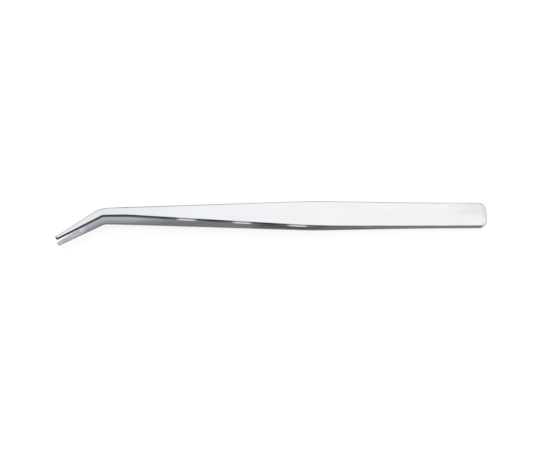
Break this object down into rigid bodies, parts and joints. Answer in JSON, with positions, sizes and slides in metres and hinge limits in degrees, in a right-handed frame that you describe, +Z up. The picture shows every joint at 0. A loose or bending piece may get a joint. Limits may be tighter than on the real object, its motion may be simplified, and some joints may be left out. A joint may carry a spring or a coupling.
{
  "type": "bent tip tweezers",
  "caption": "Long stainless steel tweezers with broad flat handles, slender tapered arms and serrated jaws bent to one side.",
  "frame": {"origin": "on the surface that the tweezers lie on, under the middle of their outline", "axes": "+X along the length towards the welded rear end, tips bent towards -Y, +Z up from the lower arm to the upper arm"},
  "size_m": [0.1999, 0.0201, 0.0112],
  "materials": {
    "polished_steel": "polished stainless steel with fine polishing lines"
  },
  "bodies": {
    "root": {"upper_arm": "polished_steel", "lower_arm": "polished_steel"}
  },
  "joints": []
}
